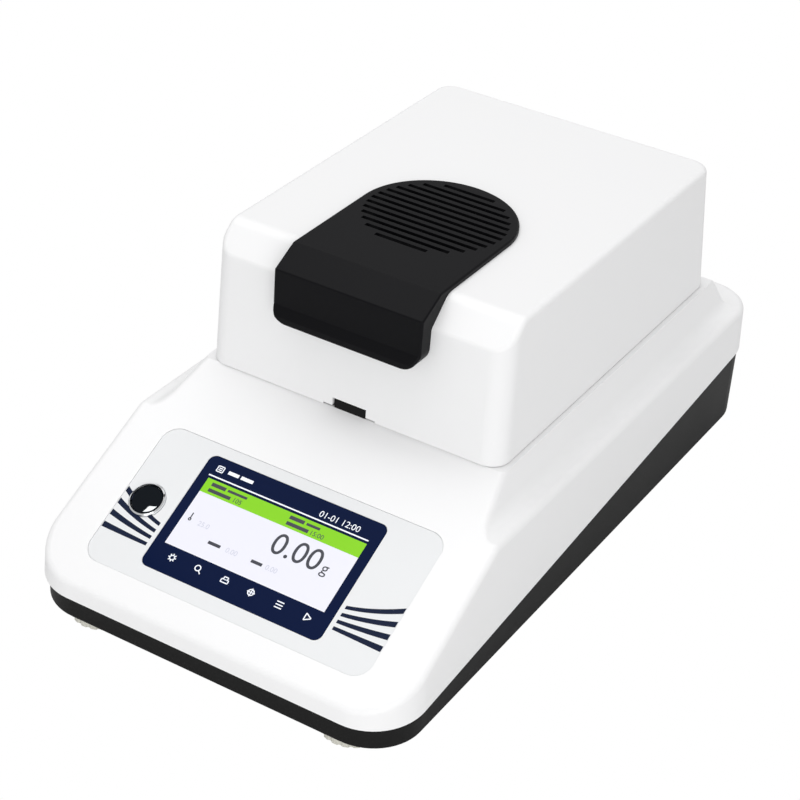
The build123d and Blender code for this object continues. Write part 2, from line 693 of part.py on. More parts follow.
def protective_glass():
    """Heat-proof disc under the lamp, with a hole for the sensor."""
    return tube(0, CHAMBER_Y, GLASS_DISC_Z, GLASS_DISC_Z + GLASS_DISC_T, GLASS_DISC_R, SENSOR_R + SLIP_FIT)


def glass_retainer():
    """Ring with three lugs that keeps the disc on the liner."""
    z0 = GLASS_DISC_Z + GLASS_DISC_T
    ring = tube(0, CHAMBER_Y, z0, z0 + SHEET, REFLECTOR_R - 1, GLASS_DISC_R - 4)
    return ring + tube(0, CHAMBER_Y, GLASS_DISC_Z, z0, REFLECTOR_R - 1, GLASS_DISC_R + SLIP_FIT)


def temperature_sensor():
    """Stem that carries the sensor bead down to just above the sample."""
    z0 = LINER_Z - 2.5
    stem = rod(0, CHAMBER_Y, z0, GLASS_DISC_Z + REFLECTOR_H + 8, SENSOR_R)
    cap = rod(0, CHAMBER_Y, GLASS_DISC_Z + REFLECTOR_H + SHEET, GLASS_DISC_Z + REFLECTOR_H + 5, 3 * SENSOR_R)
    return stem + cap


def heat_shield():
    """Sheet metal bridge over the reflector that keeps heat off the lid's top."""
    z0 = GLASS_DISC_Z + REFLECTOR_H + HEAT_SHIELD_RISE
    half = REFLECTOR_R + 8
    y0, y1 = CHAMBER_Y - half + 6, CHAMBER_Y + half
    plate = block((-half, half), (y0, y1), (z0, z0 + SHEET))
    for sx in (-1, 1):
        x0 = sx * half
        leg = block(sorted((x0, x0 - sx * SHEET)), (y0, y1), (GLASS_DISC_Z, z0))
        foot = block(sorted((x0, x0 + sx * 8)), (y0, y1), (GLASS_DISC_Z, GLASS_DISC_Z + SHEET))
        plate += leg + foot
    for i in range(-2, 3):
        y = CHAMBER_Y + i * HEAT_SLOT_PITCH
        plate -= Pos(0, y, z0) * Box(REFLECTOR_R * 1.2, HEAT_SLOT_W, 4 * SHEET)
    return plate


# Hinge

def hinge_brackets():
    """Two fixed ears on the plinth, each screwed down from inside."""
    ears = Part()
    for sx in (-1, 1):
        x = (sx * HINGE_X - HINGE_EAR_W / 2, sx * HINGE_X + HINGE_EAR_W / 2)
        ear = block(x, (HINGE_Y - HINGE_KNUCKLE_R, HINGE_Y + HINGE_KNUCKLE_R), (PLINTH_Z, HINGE_Z))
        axle = Pos(sx * HINGE_X, HINGE_Y, HINGE_Z) * Rot(0, 90, 0)
        barrel = axle * Cylinder(HINGE_KNUCKLE_R, HINGE_EAR_W)
        bore = axle * Cylinder(HINGE_PIN_R + SPINDLE_FIT, HINGE_EAR_W + 2)
        stud = rod(sx * HINGE_X, HINGE_Y, PLINTH_Z - WALL - 4, PLINTH_Z, SCREW_R - 0.1)
        ears += ear + barrel - bore + stud
    return ears


def hinge_arms():
    """Lid side of the hinge: two arms beside each fixed ear, running up inside the rear wall."""
    arms = Part()
    inside = lid_inside()
    web_y = (HINGE_Y - 2 * HINGE_KNUCKLE_R, HINGE_Y)
    for sx in (-1, 1):
        for side in (-1, 1):
            near = HINGE_EAR_W / 2 + HINGE_SIDE_GAP
            xs = sorted((sx * HINGE_X + side * near, sx * HINGE_X + side * (near + HINGE_ARM_W)))
            axle = Pos(sum(xs) / 2, HINGE_Y, HINGE_Z) * Rot(0, 90, 0)
            barrel = axle * Cylinder(HINGE_KNUCKLE_R, HINGE_ARM_W)
            web = block(xs, web_y, (HINGE_Z, HINGE_Z + HINGE_ARM_H)) & inside
            bore = axle * Cylinder(HINGE_PIN_R, HINGE_ARM_W + 2)
            arms += barrel + web - bore
        bridge_x = HINGE_EAR_W / 2 + HINGE_SIDE_GAP + HINGE_ARM_W
        bridge_z = HINGE_Z + HINGE_KNUCKLE_R + 2
        bridge = block((sx * HINGE_X - bridge_x, sx * HINGE_X + bridge_x), web_y,
                       (bridge_z, HINGE_Z + HINGE_ARM_H))
        arms += bridge & inside
    return arms


def hinge_pins():
    """Steel pins held in the lid's arms and turning in the fixed ears."""
    length = HINGE_EAR_W + 2 * (HINGE_SIDE_GAP + HINGE_ARM_W)
    pins = Part()
    for sx in (-1, 1):
        pins += Pos(sx * HINGE_X, HINGE_Y, HINGE_Z) * Rot(0, 90, 0) * Cylinder(HINGE_PIN_R, length)
    return pins


def lid_catch():
    """Black rubber catch block in the middle of the front seam."""
    half = CATCH_WIDTH / 2
    body = block((-half, half), (SLOPE_TOP_Y, SLOPE_TOP_Y + CATCH_DEPTH), (PLINTH_Z, PLINTH_Z + CATCH_H))
    return fillet(body.edges().filter_by(Axis.Z), 0.8)


# Weighing chamber

def chamber_bowl():
    """Deep-drawn steel bowl that hangs by its flange in the plinth."""
    z0 = BOWL_FLOOR_Z
    section = Polyline(
        (SPINDLE_R + 2, z0), (BOWL_R + SHEET, z0), (BOWL_R + SHEET, PLINTH_Z - SHEET),
        (BOWL_R + BOWL_FLANGE, PLINTH_Z - SHEET), (BOWL_R + BOWL_FLANGE, PLINTH_Z), (BOWL_R, PLINTH_Z),
        (BOWL_R, z0 + SHEET), (SPINDLE_R + 2 + SHEET, z0 + SHEET), (SPINDLE_R + 2 + SHEET, z0 + 3),
        (SPINDLE_R + 2, z0 + 3), close=True,
    )
    return Pos(0, CHAMBER_Y, 0) * revolve(make_face(Plane.XZ * section), Axis.Z)


def draft_shield():
    """Loose ring that keeps air off the pan."""
    r = BOWL_R - SLIP_FIT
    z0 = BOWL_FLOOR_Z + SHEET
    return tube(0, CHAMBER_Y, z0, SHIELD_TOP_Z, r, r - SHIELD_WALL)


def thermal_plate():
    """Insulating plate under the bowl."""
    z1 = BOWL_FLOOR_Z
    plate = block((-BOWL_R, BOWL_R), (CHAMBER_Y - BOWL_R, CHAMBER_Y + BOWL_R), (z1 - 2.5, z1))
    plate = fillet(plate.edges().filter_by(Axis.Z), 8)
    return plate - rod(0, CHAMBER_Y, 0, PLINTH_Z, SPINDLE_R + SPINDLE_FIT)


def weigh_spindle():
    """Post between the load cell and the pan support."""
    foot_z = CELL_TOP_Z + WEIGH_TRAVEL + SLIP_FIT
    post = rod(0, CHAMBER_Y, foot_z, SUPPORT_Z + SHEET, SPINDLE_R)
    foot = rod(0, CHAMBER_Y, foot_z, foot_z + 4, 2 * SPINDLE_R)
    return post + foot


def pan_support():
    """Three-armed star on the spindle that carries the pan."""
    hub = tube(0, CHAMBER_Y, SUPPORT_Z, SUPPORT_Z + SHEET, 3 * SPINDLE_R, SPINDLE_R)
    star = hub
    reach = PAN_R - 4
    for angle in (90, 210, 330):
        arm = block((2 * SPINDLE_R, reach), (-ARM_W / 2, ARM_W / 2), (SUPPORT_Z, SUPPORT_Z + SHEET))
        tip = block((reach - 3, reach), (-ARM_W / 2, ARM_W / 2), (SUPPORT_Z, PAN_Z))
        star += Pos(0, CHAMBER_Y, 0) * Rot(0, 0, angle) * (arm + tip)
    return star


def sample_pan():
    """Shallow aluminium dish with a flared rim."""
    t = PAN_SHEET
    top = PAN_Z + PAN_H
    rim_r = PAN_R + PAN_FLARE
    section = Polyline(
        (0, PAN_Z), (PAN_R - 1, PAN_Z), (PAN_R, PAN_Z + 1), (PAN_R + t, top - t), (rim_r, top - t),
        (rim_r, top), (PAN_R, top), (PAN_R - t, PAN_Z + 1 + t / 2), (PAN_R - 1 - t / 2, PAN_Z + t),
        (0, PAN_Z + t), close=True,
    )
    return Pos(0, CHAMBER_Y, 0) * revolve(make_face(Plane.XZ * section), Axis.Z)


def pan_handler():
    """Ring with a grip that lifts the hot pan; it rests on the draft shield by three lugs."""
    r_in = PAN_R + 1.0
    z0 = HANDLER_Z
    ring = tube(0, CHAMBER_Y, z0, z0 + SHEET, r_in + HANDLER_RIM, r_in)
    r_out = BOWL_R - 1.2
    for angle in (30, 150, 270):
        lug = block((r_in + 1, r_out), (-5, 5), (z0, z0 + SHEET))
        ring += Pos(0, CHAMBER_Y, 0) * Rot(0, 0, angle) * lug
    half = HANDLER_GRIP_W / 2
    y0 = CHAMBER_Y - BOWL_R + 2.5
    riser = block((-half, half), (y0, y0 + SHEET), (z0, PLINTH_Z + 1 + SHEET))
    grip = block((-half, half), (LID_FRONT_Y + 8, y0 + SHEET), (PLINTH_Z + 1, PLINTH_Z + 1 + SHEET))
    root = block((-half, half), (y0, y0 + 8), (z0, z0 + SHEET))
    return ring + riser + grip + root


# Electronics

def load_cell():
    """Aluminium bending beam with its two thinned webs."""
    w, length, h = CELL_SIZE
    middle = (0, CELL_FRONT_Y + length / 2, CELL_Z + h / 2)
    pocket = Box(2 * w, CELL_WEB_SPAN, CELL_SLIT)
    for sy in (-1, 1):
        pocket += Pos(0, sy * CELL_WEB_SPAN / 2, 0) * Rot(0, 90, 0) * Cylinder(h / 2 - CELL_WEB_T, 2 * w)
    return Pos(*middle) * (Box(w, length, h) - pocket)


def load_cell_base():
    """Block that lifts the fixed end of the load cell off the tray floor."""
    half = CELL_SIZE[0] / 2
    return block((-half, half), (CELL_REAR_Y - CELL_BASE_SIZE[0], CELL_REAR_Y), (TRAY_FLOOR_Z, CELL_Z))


def main_board():
    """Main circuit board on four standoffs, with its largest chip."""
    half = MAIN_BOARD_WIDTH / 2
    z0 = TRAY_FLOOR_Z + BOARD_GAP
    board = block((-half, half), (MAIN_BOARD_FRONT_Y, MAIN_BOARD_REAR_Y), (z0, z0 + BOARD_T))
    for x in (BOARD_EDGE - half, half - BOARD_EDGE):
        for y in (MAIN_BOARD_FRONT_Y + BOARD_EDGE, MAIN_BOARD_REAR_Y - FOOT_BOSS_R - BOARD_EDGE):
            board += rod(x, y, TRAY_FLOOR_Z, z0, STANDOFF_R)
    chip_y = (MAIN_BOARD_FRONT_Y + MAIN_BOARD_REAR_Y) / 2
    return board + Pos(-half / 2, chip_y, z0 + BOARD_T) * Box(BOARD_CHIP, BOARD_CHIP, 2 * BOARD_T)


def power_supply():
    """Potted mains supply on the front of the main board."""
    w, d, h = POWER_SUPPLY_SIZE
    z0 = TRAY_FLOOR_Z + BOARD_GAP + BOARD_T
    x1 = MAIN_BOARD_WIDTH / 2 - BOARD_EDGE
    y0 = MAIN_BOARD_FRONT_Y + BOARD_EDGE
    can = block((x1 - w, x1), (y0, y0 + d), (z0, z0 + h))
    return fillet(can.edges().filter_by(Axis.Z), 2)


# Rear plate

def rear_plate():
    """Metal plate behind the tray's rear window that carries the connectors."""
    slab = block((-PLATE_SIZE[0] / 2, PLATE_SIZE[0] / 2), (PLATE_Y - PLATE_T, PLATE_Y),
                 (PLATE_Z - PLATE_SIZE[1] / 2, PLATE_Z + PLATE_SIZE[1] / 2))
    slab -= rear_hole(INLET_X, grown(INLET_SIZE, -1.5))
    slab -= rear_hole(SWITCH_X, grown(SWITCH_SIZE, -1.0))
    return slab - rear_hole(SERIAL_X, (SERIAL_SHELL[0] + 0.6, SERIAL_SHELL[1] + 0.6))


def rear_hole(x, size):
    """Square hole through the connector plate."""
    return block((x - size[0] / 2, x + size[0] / 2), (PLATE_Y - 2 * PLATE_T, PLATE_Y + PLATE_T),
                 (PLATE_Z - size[1] / 2, PLATE_Z + size[1] / 2))


def power_inlet():
    """Mains inlet with three blades in a shaped mouth."""
    w, h = INLET_SIZE
    flange = block((INLET_X - w / 2, INLET_X + w / 2), (PLATE_Y, PLATE_Y + 2),
                   (PLATE_Z - h / 2, PLATE_Z + h / 2))
    flange = fillet(flange.edges().filter_by(Axis.Y), 2)
    body_size = grown(INLET_SIZE, -1.7)
    body = block((INLET_X - body_size[0] / 2, INLET_X + body_size[0] / 2), (PLATE_Y - INLET_DEPTH, PLATE_Y),
                 (PLATE_Z - body_size[1] / 2, PLATE_Z + body_size[1] / 2))
    mw, mh, depth = INLET_MOUTH
    outline = Polyline((-mw / 2, -mh / 2), (mw / 2, -mh / 2), (mw / 2, mh / 2 - 4), (mw / 2 - 4, mh / 2),
                       (-mw / 2 + 4, mh / 2), (-mw / 2, mh / 2 - 4), close=True)
    face = Plane(origin=(INLET_X, PLATE_Y + 3, PLATE_Z), x_dir=(-1, 0, 0), z_dir=(0, 1, 0))
    mouth = extrude(face * make_face(outline), -(depth + 1))
    inlet = flange + body - mouth
    for dx, dz in ((-7, -1.5), (7, -1.5), (0, 2.5)):
        inlet += block((INLET_X + dx - 1, INLET_X + dx + 1), (PLATE_Y - depth + 1, PLATE_Y - 1.5),
                       (PLATE_Z + dz - 2, PLATE_Z + dz + 2))
    return inlet


def switch_frame():
    """Frame of the rocker switch."""
    w, h = SWITCH_SIZE
    rim = block((SWITCH_X - w / 2, SWITCH_X + w / 2), (PLATE_Y, PLATE_Y + 1.8),
                (PLATE_Z - h / 2, PLATE_Z + h / 2))
    rim = fillet(rim.edges().filter_by(Axis.Y), 1.5)
    bw, bh = grown(SWITCH_SIZE, -1.2)
    body = block((SWITCH_X - bw / 2, SWITCH_X + bw / 2), (PLATE_Y - SWITCH_DEPTH, PLATE_Y),
                 (PLATE_Z - bh / 2, PLATE_Z + bh / 2))
    cw, ch = grown(SWITCH_SIZE, -2.2)
    cavity = block((SWITCH_X - cw / 2, SWITCH_X + cw / 2), (PLATE_Y - SWITCH_DEPTH + 2, PLATE_Y + 3),
                   (PLATE_Z - ch / 2, PLATE_Z + ch / 2))
    pin_hole = Pos(SWITCH_X, PLATE_Y - 2, PLATE_Z) * Rot(0, 90, 0) * Cylinder(1.05, w * 2)
    return rim + body - cavity - (pin_hole & block((SWITCH_X - bw / 2 + 0.4, SWITCH_X + bw / 2 - 0.4),
                                                   (PLATE_Y - SWITCH_DEPTH, PLATE_Y), (0, PLINTH_Z)))


def power_rocker():
    """Rocker of the mains switch, tilted to its off side, on two stub pins."""
    cw, ch = grown(SWITCH_SIZE, -2.2 - SLIP_FIT)
    arc_r = ch * 1.2
    rocker = block((-cw / 2, cw / 2), (-4, 3.4), (-ch / 2 + 0.5, ch / 2 - 0.5))
    rocker -= Pos(0, 3.0 + arc_r - 1.4, 0) * Rot(0, 90, 0) * Cylinder(arc_r, 2 * cw)
    rocker += Rot(0, 90, 0) * Cylinder(1.0, cw + 2 * SLIP_FIT + 1.2)
    return Pos(SWITCH_X, PLATE_Y - 2, PLATE_Z) * Rot(ROCKER_TILT, 0, 0) * rocker


def serial_port():
    """Nine-pole data socket with its metal shell."""
    fw, fh = SERIAL_FLANGE
    flange = block((SERIAL_X - fw / 2, SERIAL_X + fw / 2), (PLATE_Y, PLATE_Y + 0.8),
                   (PLATE_Z - fh / 2, PLATE_Z + fh / 2))
    w, h = SERIAL_SHELL
    outline = Polyline((-w / 2 + 1, -h / 2), (w / 2 - 1, -h / 2), (w / 2, h / 2), (-w / 2, h / 2), close=True)
    face = Plane(origin=(SERIAL_X, PLATE_Y - SERIAL_BACK, PLATE_Z), x_dir=(-1, 0, 0), z_dir=(0, 1, 0))
    shell = extrude(face * make_face(outline), SERIAL_BACK + SERIAL_PROUD)
    shell = fillet(shell.edges().filter_by(Axis.Y), 1.0)
    return flange + shell


# Feet

def foot_places():
    """Where the four feet stand."""
    return [(sx * FOOT_X, y) for y in (FOOT_FRONT_Y, FOOT_REAR_Y) for sx in (-1, 1)]


def foot_pad(x):
    """Soft pad that stays still while the wheel above it turns."""
    pad = rod(x, FOOT_FRONT_Y, 0, FOOT_PAD_T, FOOT_PAD_R)
    return fillet(pad.edges().sort_by(Axis.Z)[0], 0.8)


def foot_wheel(x):
    """Fluted levelling wheel with its screw."""
    z1 = WHEEL_Z + FOOT_WHEEL_T
    wheel = rod(x, FOOT_FRONT_Y, WHEEL_Z, z1, FOOT_WHEEL_R)
    for i in range(FOOT_FLUTES):
        angle = radians(360 * i / FOOT_FLUTES)
        wheel -= rod(x + (FOOT_WHEEL_R + 0.8) * cos(angle), FOOT_FRONT_Y + (FOOT_WHEEL_R + 0.8) * sin(angle),
                     WHEEL_Z - 1, z1 + 1, 1.5)
    return wheel + rod(x, FOOT_FRONT_Y, z1, FLOOR_GAP + FOOT_BOSS_H - 4, FOOT_SCREW_R)


def rear_feet():
    """Two fixed pale feet at the back."""
    feet = Part()
    for sx in (-1, 1):
        foot = rod(sx * FOOT_X, FOOT_REAR_Y, 0, FLOOR_GAP, FOOT_WHEEL_R - 2)
        feet += fillet(foot.edges().sort_by(Axis.Z)[0], 1.0)
    return feet


def main():
    """Build every piece and write one file for each."""
    hood = lid_outer()
    pieces = {
        "base_tray": base_tray(),
        "upper_housing": upper_housing(),
        "housing_screws": housing_screws(),
        "panel_label": panel_label(),
        "display_glass": display_glass(),
        "display_module": display_module(),
        "display_board": display_board(),
        "level_bezel": level_bezel(),
        "level_vial": level_vial(),
        "level_clip": level_clip(),
        "lid_shell": lid_shell(hood),
        "handle_cover": handle_cover(hood),
        "lid_liner": lid_liner(),
        "reflector": reflector(),
        "halogen_lamp": halogen_lamp(),
        "lamp_sockets": lamp_sockets(),
        "protective_glass": protective_glass(),
        "glass_retainer": glass_retainer(),
        "temperature_sensor": temperature_sensor(),
        "heat_shield": heat_shield(),
        "hinge_brackets": hinge_brackets(),
        "hinge_arms": hinge_arms(),
        "hinge_pins": hinge_pins(),
        "lid_catch": lid_catch(),
        "chamber_bowl": chamber_bowl(),
        "draft_shield": draft_shield(),
        "thermal_plate": thermal_plate(),
        "weigh_spindle": weigh_spindle(),
        "pan_support": pan_support(),
        "sample_pan": sample_pan(),
        "pan_handler": pan_handler(),
        "load_cell": load_cell(),
        "load_cell_base": load_cell_base(),
        "main_board": main_board(),
        "power_supply": power_supply(),
        "rear_plate": rear_plate(),
        "power_inlet": power_inlet(),
        "switch_frame": switch_frame(),
        "power_rocker": power_rocker(),
        "serial_port": serial_port(),
        "left_foot_pad": foot_pad(-FOOT_X),
        "right_foot_pad": foot_pad(FOOT_X),
        "left_foot_wheel": foot_wheel(-FOOT_X),
        "right_foot_wheel": foot_wheel(FOOT_X),
        "rear_feet": rear_feet(),
    }
    os.makedirs("parts", exist_ok=True)
    for name, shape in pieces.items():
        export_step(shape, f"parts/{name}.step")
        print(f"{name}: {len(shape.solids())} solids, {shape.volume:.0f} cubic mm")


main()
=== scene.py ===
# %% [markdown]
# # A moisture analyzer, dressed for its portrait
# A moisture analyzer weighs a sample while a lamp in its lid dries it. The solids come from CAD and
# stay where they are. This notebook gives them surfaces, prints the panel, and adds the small things
# that a printer or an assembler would add. +Z is up and -Y is the front. The frame is in metres, and
# shapes are written in millimetres and divided by 1000 when they become points.

# %% Open the frame
from math import atan2, cos, pi, radians, sin, tan

import bpy
import numpy as np
from mathutils import Matrix


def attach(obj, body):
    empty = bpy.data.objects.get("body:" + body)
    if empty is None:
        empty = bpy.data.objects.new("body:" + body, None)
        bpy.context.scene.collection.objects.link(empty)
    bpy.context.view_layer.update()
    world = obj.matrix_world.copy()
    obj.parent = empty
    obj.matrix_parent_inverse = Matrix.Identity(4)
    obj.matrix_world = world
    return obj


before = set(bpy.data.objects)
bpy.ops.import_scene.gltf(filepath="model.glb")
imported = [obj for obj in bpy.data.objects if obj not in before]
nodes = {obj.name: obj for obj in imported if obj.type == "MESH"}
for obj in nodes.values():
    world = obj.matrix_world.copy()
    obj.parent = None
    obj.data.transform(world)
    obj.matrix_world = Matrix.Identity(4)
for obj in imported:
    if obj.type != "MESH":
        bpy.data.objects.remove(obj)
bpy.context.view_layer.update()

# %% [markdown]
# ## Camera
# A product portrait is taken from far away through a long lens, so that the edges stay nearly
# parallel. The straight edges of the case fix the camera: about 32 degrees above the table and 30
# degrees round to the right. Its place is in metres, and its three axes are unit vectors.

# %% Place the camera
CAMERA_AT = (0.44124, -0.80966, 0.64283)
CAMERA_RIGHT = (0.84965, 0.52338, 0.06458)
CAMERA_DOWN = (0.32679, -0.42643, -0.84342)
CAMERA_AHEAD = (-0.41389, 0.73772, -0.53335)
LENS_MM = 97.69
SENSOR_MM = 36.0

lens = bpy.data.cameras.new("portrait")
lens.lens = LENS_MM
lens.sensor_width = SENSOR_MM
camera = bpy.data.objects.new("portrait", lens)
turn = Matrix((CAMERA_RIGHT, [-c for c in CAMERA_DOWN], [-c for c in CAMERA_AHEAD])).transposed()
camera.matrix_world = Matrix.Translation(CAMERA_AT) @ turn.to_4x4()
bpy.context.scene.collection.objects.link(camera)
bpy.context.scene.camera = camera
print("camera lens:", LENS_MM, "mm")

# %% [markdown]
# ## Shader arithmetic
# A material is a graph of nodes, and drawing it by hand hides the sum that it does. One function
# adds any node, and one small class lets plus, minus and times stand for Math nodes, so a recipe
# reads as a formula.

# %% Small shader algebra
def add_node(tree, kind, settings=None, sockets=None):
    """New node: its settings are set first, then each socket gets its value or its link."""
    node = tree.nodes.new(kind)
    for name, value in (settings or {}).items():
        setattr(node, name, value)
    for name, value in (sockets or {}).items():
        if isinstance(value, Socket):
            tree.links.new(value.out, node.inputs[name])
        else:
            node.inputs[name].default_value = value
    return node


class Socket:
    """One value inside a material. Arithmetic on it adds the Math nodes that do the sum."""

    def __init__(self, tree, out):
        self.tree = tree
        self.out = out

    def _math(self, kind, first, second):
        node = add_node(self.tree, "ShaderNodeMath", {"operation": kind}, {0: first, 1: second})
        return Socket(self.tree, node.outputs[0])

    def __add__(self, other):
        return self._math("ADD", self, other)

    def __sub__(self, other):
        return self._math("SUBTRACT", self, other)

    def __rsub__(self, other):
        return self._math("SUBTRACT", other, self)

    def __mul__(self, other):
        return self._math("MULTIPLY", self, other)

    __radd__ = __add__
    __rmul__ = __mul__


# %% [markdown]
# ## Recipes for surfaces
# Nearly everything here is moulded plastic or brushed metal. A mould leaves an even grain, and the
# gloss varies a little from place to place. Brushing leaves scratches along one axis. Both could be
# photographs wrapped round the piece, but noise needs no image and has no seams. All patterns read
# Object coordinates, so they stay with the piece when it moves.

# %% Material recipes
MM_PER_M = 1000.0
UM_PER_M = 1e6
COAT_ROUGHNESS = 0.08
NOISE_MIDDLE = 0.5
GLOSS_PATCHES_PER_M = 14.0
GLOSS_SPREAD = 0.08
SCRATCHES_ACROSS_PER_M = 900.0
SCRATCHES_ALONG_PER_M = 12.0
SCRATCH_DEPTH_UM = 12
SCRATCH_GLOSS_SPREAD = 0.25
GLASS_SHINE = 0.8
GLASS_ALPHA = 0.22


class Recipe:
    """A material with its main shader, and the textures that feed it."""

    def __init__(self, name, color, roughness, metallic=0.0, coat=0.0, glow=0.0, shine=0.5):
        self.material = bpy.data.materials.new(name)
        self.material.use_nodes = True
        self.tree = self.material.node_tree
        self.shader = self.tree.nodes["Principled BSDF"]
        constants = {"Base Color": (*color, 1.0), "Roughness": roughness, "Metallic": metallic,
                     "Coat Weight": coat, "Coat Roughness": COAT_ROUGHNESS, "Specular IOR Level": shine}
        if glow:
            constants |= {"Emission Color": (*color, 1.0), "Emission Strength": glow}
        for socket, value in constants.items():
            self.shader.inputs[socket].default_value = value

    def noise(self, waves_per_m, detail, stretch=(1.0, 1.0, 1.0)):
        """Smooth random value round 0.5, on Object coordinates stretched along each axis."""
        here = Socket(self.tree, add_node(self.tree, "ShaderNodeTexCoord").outputs["Object"])
        mapping = add_node(self.tree, "ShaderNodeMapping", sockets={"Scale": stretch, "Vector": here})
        stretched = Socket(self.tree, mapping.outputs["Vector"])
        texture = add_node(self.tree, "ShaderNodeTexNoise",
                           sockets={"Scale": waves_per_m, "Detail": detail, "Vector": stretched})
        return Socket(self.tree, texture.outputs["Fac"])

    def bump(self, height, depth_um):
        """Relief of a height socket, depth_um micrometres deep."""
        relief = add_node(self.tree, "ShaderNodeBump",
                          sockets={"Strength": 1.0, "Distance": depth_um / UM_PER_M, "Height": height})
        self.tree.links.new(relief.outputs["Normal"], self.shader.inputs["Normal"])

    def rough(self, value):
        """Roughness that varies with a socket."""
        self.tree.links.new(value.out, self.shader.inputs["Roughness"])


def moulded(name, color, roughness, grain_mm, depth_um, coat=0.0, shine=0.5):
    """Moulded plastic: a fine even grain and slightly uneven gloss."""
    made = Recipe(name, color, roughness, coat=coat, shine=shine)
    made.bump(made.noise(MM_PER_M / grain_mm, 1.0), depth_um)
    patches = made.noise(GLOSS_PATCHES_PER_M, 2.0)
    made.rough((patches - NOISE_MIDDLE) * GLOSS_SPREAD + roughness)
    return made


def brushed(name, color, roughness, along):
    """Brushed metal: fine scratches that run along one axis."""
    stretch = [SCRATCHES_ACROSS_PER_M] * 3
    stretch["XYZ".index(along)] = SCRATCHES_ALONG_PER_M
    made = Recipe(name, color, roughness, metallic=1.0)
    scratch = made.noise(1.0, 3.0, stretch)
    made.bump(scratch, SCRATCH_DEPTH_UM)
    made.rough((scratch - NOISE_MIDDLE) * SCRATCH_GLOSS_SPREAD + roughness)
    return made


def clear(name, color, roughness):
    """Thin clear glass: mostly see-through, with a mirror-like skin."""
    made = Recipe(name, color, roughness, shine=GLASS_SHINE)
    made.shader.inputs["Alpha"].default_value = GLASS_ALPHA
    return made


# %% [markdown]
# ## The surfaces of this instrument
# The case is white satin plastic on a nearly black tray. The screen is a dark glass with a lit page
# printed on it, and its page, band and signs glow a little, as a backlit screen does. The colours
# are linear values, which render as written under the plain light at the end.

# %% Surfaces
recipes = {
    "white": moulded("white_plastic", (0.88, 0.88, 0.885), 0.42, 0.5, 4, coat=0.12),
    "tray": moulded("tray_plastic", (0.009, 0.009, 0.009), 0.5, 0.7, 20, shine=0.12),
    "handle": moulded("handle_plastic", (0.004, 0.004, 0.005), 0.42, 0.5, 6, shine=0.09),
    "label": moulded("label_film", (0.78, 0.79, 0.80), 0.45, 0.4, 3),
    "navy": Recipe("screen_glass", (0.002, 0.008, 0.042), 0.12, shine=0.03),
    "stripe": Recipe("stripe_ink", (0.004, 0.010, 0.036), 0.45, shine=0.12),
    "page": Recipe("lit_page", (0.80, 0.80, 0.88), 0.3, glow=0.04, shine=0.2),
    "band": Recipe("lit_band", (0.24, 0.62, 0.02), 0.3, glow=0.06, shine=0.1),
    "white_ink": Recipe("lit_sign", (0.85, 0.88, 0.95), 0.3, glow=0.1),
    "black_ink": Recipe("dark_sign", (0.012, 0.014, 0.03), 0.3),
    "grey_ink": Recipe("pale_sign", (0.62, 0.63, 0.74), 0.3),
    "chrome": Recipe("bright_ring", (0.86, 0.87, 0.88), 0.12, metallic=1.0),
    "level": Recipe("level_cup", (0.003, 0.005, 0.008), 0.08, shine=0.03),
    "gleam": Recipe("level_gleam", (0.85, 0.88, 0.9), 0.2, glow=0.1),
    "steel_x": brushed("steel_brushed_x", (0.62, 0.62, 0.63), 0.3, "X"),
    "steel_z": brushed("steel_brushed_z", (0.60, 0.60, 0.61), 0.28, "Z"),
    "aluminium": brushed("aluminium_satin", (0.82, 0.83, 0.84), 0.26, "Y"),
    "mirror": Recipe("reflector_skin", (0.9, 0.9, 0.9), 0.12, metallic=1.0),
    "gold": Recipe("gold_plating", (0.85, 0.62, 0.22), 0.25, metallic=1.0),
    "rubber": moulded("soft_rubber", (0.008, 0.008, 0.008), 0.8, 0.4, 20, shine=0.15),
    "pale": moulded("pale_plastic", (0.70, 0.69, 0.62), 0.5, 0.5, 10),
    "ceramic": moulded("ceramic", (0.84, 0.82, 0.76), 0.75, 0.3, 10),
    "insulation": moulded("pressed_board", (0.50, 0.42, 0.30), 0.9, 1.2, 100),
    "board": Recipe("board_lacquer", (0.012, 0.11, 0.045), 0.35, coat=0.3),
    "dark": moulded("dull_black", (0.02, 0.02, 0.022), 0.6, 0.6, 10),
    "gloss": Recipe("gloss_black", (0.012, 0.012, 0.013), 0.12, coat=0.5),
    "glass": clear("clear_disc", (0.86, 0.93, 0.92), 0.02),
    "quartz": clear("quartz_tube", (0.95, 0.95, 0.97), 0.05),
}
surface = {key: made.material for key, made in recipes.items()}
print("surfaces:", len(surface))

# %% Dress the solids
dressing = {
    "white": ["upper_housing", "lid_shell"],
    "tray": ["base_tray"],
    "handle": ["handle_cover"],
    "label": ["panel_label"],
    "navy": ["display_glass"],
    "chrome": ["level_bezel"],
    "level": ["level_vial"],
    "steel_x": ["lid_liner", "rear_plate", "pan_handler", "pan_support", "chamber_bowl",
                "glass_retainer"],
    "steel_z": ["housing_screws", "hinge_brackets", "hinge_arms", "hinge_pins", "draft_shield",
                "weigh_spindle", "temperature_sensor", "serial_port"],
    "aluminium": ["sample_pan", "load_cell", "load_cell_base", "heat_shield"],
    "mirror": ["reflector"],
    "rubber": ["lid_catch", "left_foot_pad", "right_foot_pad"],
    "pale": ["left_foot_wheel", "right_foot_wheel", "rear_feet"],
    "ceramic": ["lamp_sockets"],
    "insulation": ["thermal_plate"],
    "board": ["display_board", "main_board"],
    "dark": ["display_module", "power_supply", "level_clip", "power_inlet", "switch_frame"],
    "gloss": ["power_rocker"],
    "glass": ["protective_glass"],
    "quartz": ["halogen_lamp"],
}
for key, names in dressing.items():
    for name in names:
        mesh = nodes[name].data
        mesh.materials.clear()
        mesh.materials.append(surface[key])
